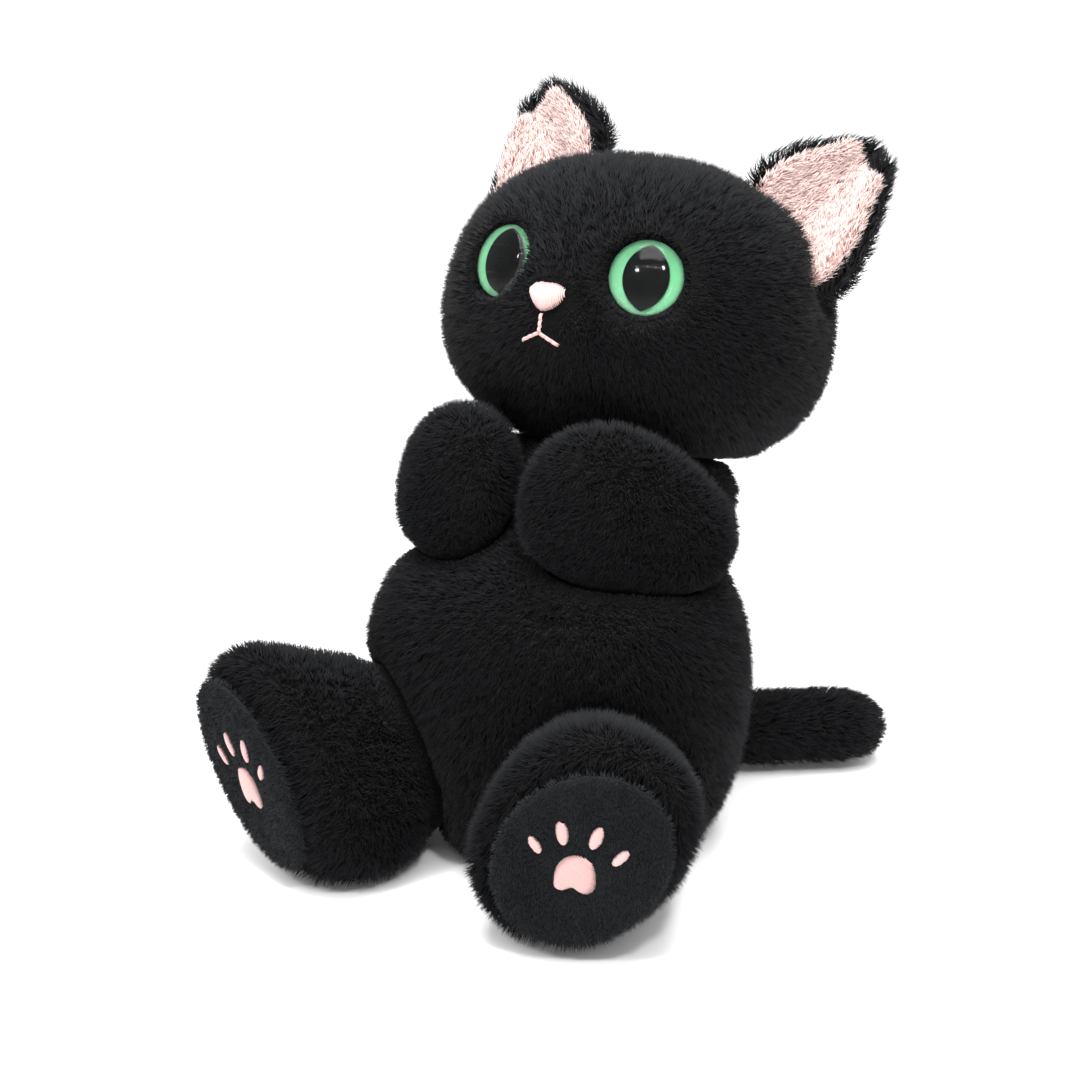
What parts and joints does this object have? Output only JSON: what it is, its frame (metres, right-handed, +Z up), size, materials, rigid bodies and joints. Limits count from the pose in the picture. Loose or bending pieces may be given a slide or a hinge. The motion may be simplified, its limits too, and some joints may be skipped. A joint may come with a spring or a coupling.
{
  "type": "plush cat",
  "caption": "Sitting plush cat with a big head, green safety eyes, raised paws, embroidered soles and a short thick tail.",
  "frame": {"origin": "centre of the flat underside of the seat", "axes": "+Z up, face towards -Y, the cat's left side towards +X"},
  "size_m": [0.1836, 0.2207, 0.2412],
  "materials": {
    "black_fur": "short dense plush pile, soft grey-blue sheen",
    "sole_fur": "very short brushed pile",
    "ear_pink_fur": "shaggy pale pink pile",
    "pink_thread": "satin-stitched thread",
    "clear_dome": "clear polished dome",
    "green_iris": "printed green iris",
    "dark_pupil": "gloss black almond",
    "eye_post": "moulded black plastic",
    "washer_plastic": "moulded white plastic",
    "stuffing": "polyester fibre filling",
    "pellets": "pellets in a cloth bag"
  },
  "bodies": {
    "torso": {"torso_front_left": "black_fur", "torso_front_right": "black_fur", "torso_back_left": "black_fur", "torso_back_right": "black_fur", "seat_panel": "black_fur", "torso_filling": "stuffing", "pellet_bag": "pellets"},
    "neck_turn": {"neck_filling": "stuffing"},
    "neck_lean": {"neck_seam": "black_fur"},
    "head": {"face_left": "black_fur", "face_right": "black_fur", "head_back_left": "black_fur", "head_back_right": "black_fur", "head_filling": "stuffing", "nose_stitching": "pink_thread", "mouth_stitching": "pink_thread", "eye_dome_left": "clear_dome", "eye_dome_right": "clear_dome", "iris_left": "green_iris", "iris_right": "green_iris", "pupil_left": "dark_pupil", "pupil_right": "dark_pupil", "eye_shank_left": "eye_post", "eye_shank_right": "eye_post", "eye_washer_left": "washer_plastic", "eye_washer_right": "washer_plastic"},
    "tail": {"tail_upper": "black_fur", "tail_lower": "black_fur", "tail_filling": "stuffing"},
    "tail_root": {"tail_root_filling": "stuffing"},
    "ear_left": {"ear_back_left": "black_fur", "ear_lining_left": "ear_pink_fur", "ear_seam_left": "black_fur"},
    "shoulder_left": {"shoulder_filling_left": "stuffing"},
    "arm_left": {"arm_outer_left": "black_fur", "arm_inner_left": "black_fur", "arm_filling_left": "stuffing"},
    "hip_left": {"hip_filling_left": "stuffing"},
    "leg_left": {"leg_upper_left": "black_fur", "leg_lower_left": "black_fur", "sole_left": "sole_fur", "pad_stitching_left": "pink_thread", "leg_filling_left": "stuffing"},
    "ear_right": {"ear_back_right": "black_fur", "ear_lining_right": "ear_pink_fur", "ear_seam_right": "black_fur"},
    "shoulder_right": {"shoulder_filling_right": "stuffing"},
    "arm_right": {"arm_outer_right": "black_fur", "arm_inner_right": "black_fur", "arm_filling_right": "stuffing"},
    "hip_right": {"hip_filling_right": "stuffing"},
    "leg_right": {"leg_upper_right": "black_fur", "leg_lower_right": "black_fur", "sole_right": "sole_fur", "pad_stitching_right": "pink_thread", "leg_filling_right": "stuffing"}
  },
  "joints": [
    {"name": "neck_turn", "type": "hinge", "parent": "torso", "child": "neck_turn", "pos_m": [0, 0.038, 0.117], "axis": [0, 0, 1], "range_deg": [-10, 10], "stiffness_Nm_per_rad": 0.5},
    {"name": "neck_lean", "type": "hinge", "parent": "neck_turn", "child": "neck_lean", "pos_m": [0, 0.038, 0.117], "axis": [0, 1, 0], "range_deg": [-3, 3], "stiffness_Nm_per_rad": 1.5},
    {"name": "neck_nod", "type": "hinge", "parent": "neck_lean", "child": "head", "pos_m": [0, 0.038, 0.117], "axis": [1, 0, 0], "range_deg": [-8, 1.5], "stiffness_Nm_per_rad": 3},
    {"name": "tail_sway", "type": "hinge", "parent": "torso", "child": "tail_root", "pos_m": [0, 0.047, 0.015], "axis": [0, 0, 1], "range_deg": [-10, 10], "stiffness_Nm_per_rad": 0.15},
    {"name": "tail_lift", "type": "hinge", "parent": "tail_root", "child": "tail", "pos_m": [0, 0.047, 0.015], "axis": [1, 0, 0], "range_deg": [0, 9], "stiffness_Nm_per_rad": 0.3},
    {"name": "arm_open_left", "type": "hinge", "parent": "torso", "child": "shoulder_left", "pos_m": [0.037, 0.02, 0.107], "axis": [0, 0, 1], "range_deg": [0, 8], "stiffness_Nm_per_rad": 0.12},
    {"name": "arm_raise_left", "type": "hinge", "parent": "shoulder_left", "child": "arm_left", "pos_m": [0.037, 0.02, 0.107], "axis": [-1, 0, 0], "range_deg": [-4, 1], "stiffness_Nm_per_rad": 0.25},
    {"name": "leg_splay_left", "type": "hinge", "parent": "torso", "child": "hip_left", "pos_m": [0.033, -0.014, 0.0325], "axis": [0, 0, 1], "range_deg": [-2.5, 3], "stiffness_Nm_per_rad": 0.3},
    {"name": "leg_lift_left", "type": "hinge", "parent": "hip_left", "child": "leg_left", "pos_m": [0.033, -0.014, 0.0325], "axis": [-1, 0, 0], "range_deg": [0, 3], "stiffness_Nm_per_rad": 0.6},
    {"name": "ear_fold_left", "type": "hinge", "parent": "head", "child": "ear_left", "pos_m": [0.029, 0.07, 0.211], "axis": [0.6679, -0.2801, -0.6895], "range_deg": [-8, 4], "stiffness_Nm_per_rad": 0.05},
    {"name": "arm_open_right", "type": "hinge", "parent": "torso", "child": "shoulder_right", "pos_m": [-0.037, 0.02, 0.107], "axis": [0, 0, -1], "range_deg": [0, 8], "stiffness_Nm_per_rad": 0.12},
    {"name": "arm_raise_right", "type": "hinge", "parent": "shoulder_right", "child": "arm_right", "pos_m": [-0.037, 0.02, 0.107], "axis": [-1, 0, 0], "range_deg": [-4, 1], "stiffness_Nm_per_rad": 0.25},
    {"name": "leg_splay_right", "type": "hinge", "parent": "torso", "child": "hip_right", "pos_m": [-0.033, -0.014, 0.0325], "axis": [0, 0, -1], "range_deg": [-2.5, 3], "stiffness_Nm_per_rad": 0.3},
    {"name": "leg_lift_right", "type": "hinge", "parent": "hip_right", "child": "leg_right", "pos_m": [-0.033, -0.014, 0.0325], "axis": [-1, 0, 0], "range_deg": [0, 3], "stiffness_Nm_per_rad": 0.6},
    {"name": "ear_fold_right", "type": "hinge", "parent": "head", "child": "ear_right", "pos_m": [-0.029, 0.07, 0.211], "axis": [0.6679, 0.2801, 0.6895], "range_deg": [-8, 4], "stiffness_Nm_per_rad": 0.05}
  ]
}
